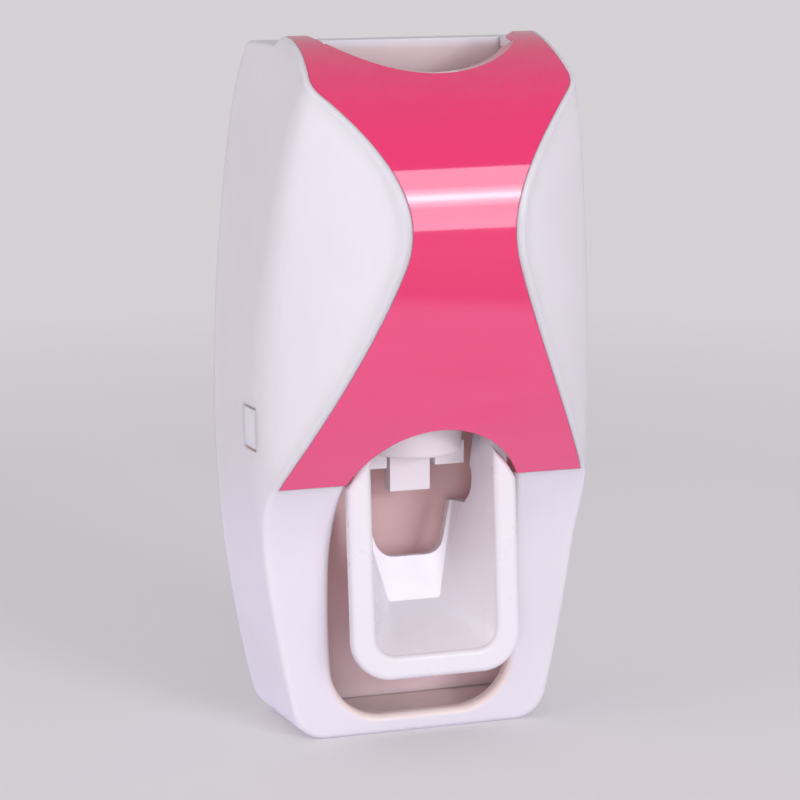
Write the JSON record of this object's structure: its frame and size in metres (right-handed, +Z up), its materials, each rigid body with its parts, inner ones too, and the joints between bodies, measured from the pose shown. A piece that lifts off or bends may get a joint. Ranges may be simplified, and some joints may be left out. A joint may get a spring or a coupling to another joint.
{
  "type": "toothpaste dispenser",
  "caption": "Wall-hung toothpaste dispenser: hourglass front panel on a white hood, tube mouth on top, and a hinged push lever with a brush trough that squeezes a small pump.",
  "frame": {"origin": "middle of the wall face, the rear face of the bracket tape", "axes": "+X to the right of someone facing the front, +Y into the wall, +Z up; the front faces -Y"},
  "size_m": [0.082, 0.0556, 0.1583],
  "materials": {
    "white_gloss": "glossy white moulding",
    "white_satin": "satin white moulding",
    "pink_gloss": "high-gloss pink panel",
    "silicone": "milky silicone",
    "screw_steel": "zinc-plated",
    "tape_foam": "closed-cell foam tape"
  },
  "bodies": {
    "bracket": {"wall_bracket": "white_satin", "bracket_tape": "tape_foam"},
    "housing": {"front_shell": "white_gloss", "front_panel": "pink_gloss", "back_cover": "white_satin", "cover_screws": "screw_steel", "pump_body": "white_satin", "pump_screws": "screw_steel", "pump_bulb": "silicone", "bulb_ring": "white_satin", "inlet_seat": "white_satin", "inlet_valve": "silicone", "socket_seal": "silicone", "tube_socket": "white_satin", "neck_seal": "silicone", "seal_retainer": "white_satin", "outlet_collar": "white_satin", "outlet_valve": "silicone", "nozzle": "white_satin"},
    "lever": {"push_lever": "white_gloss"}
  },
  "joints": [
    {"name": "lift_off", "type": "slide", "parent": "bracket", "child": "housing", "axis": [0, 0, 1], "range_m": [0, 0.0065]},
    {"name": "lever_push", "type": "hinge", "parent": "housing", "child": "lever", "pos_m": [0, -0.0417, 0.003], "axis": [1, 0, 0], "range_deg": [0, 7], "stiffness_Nm_per_rad": 3, "deforming": ["pump_bulb"]}
  ]
}
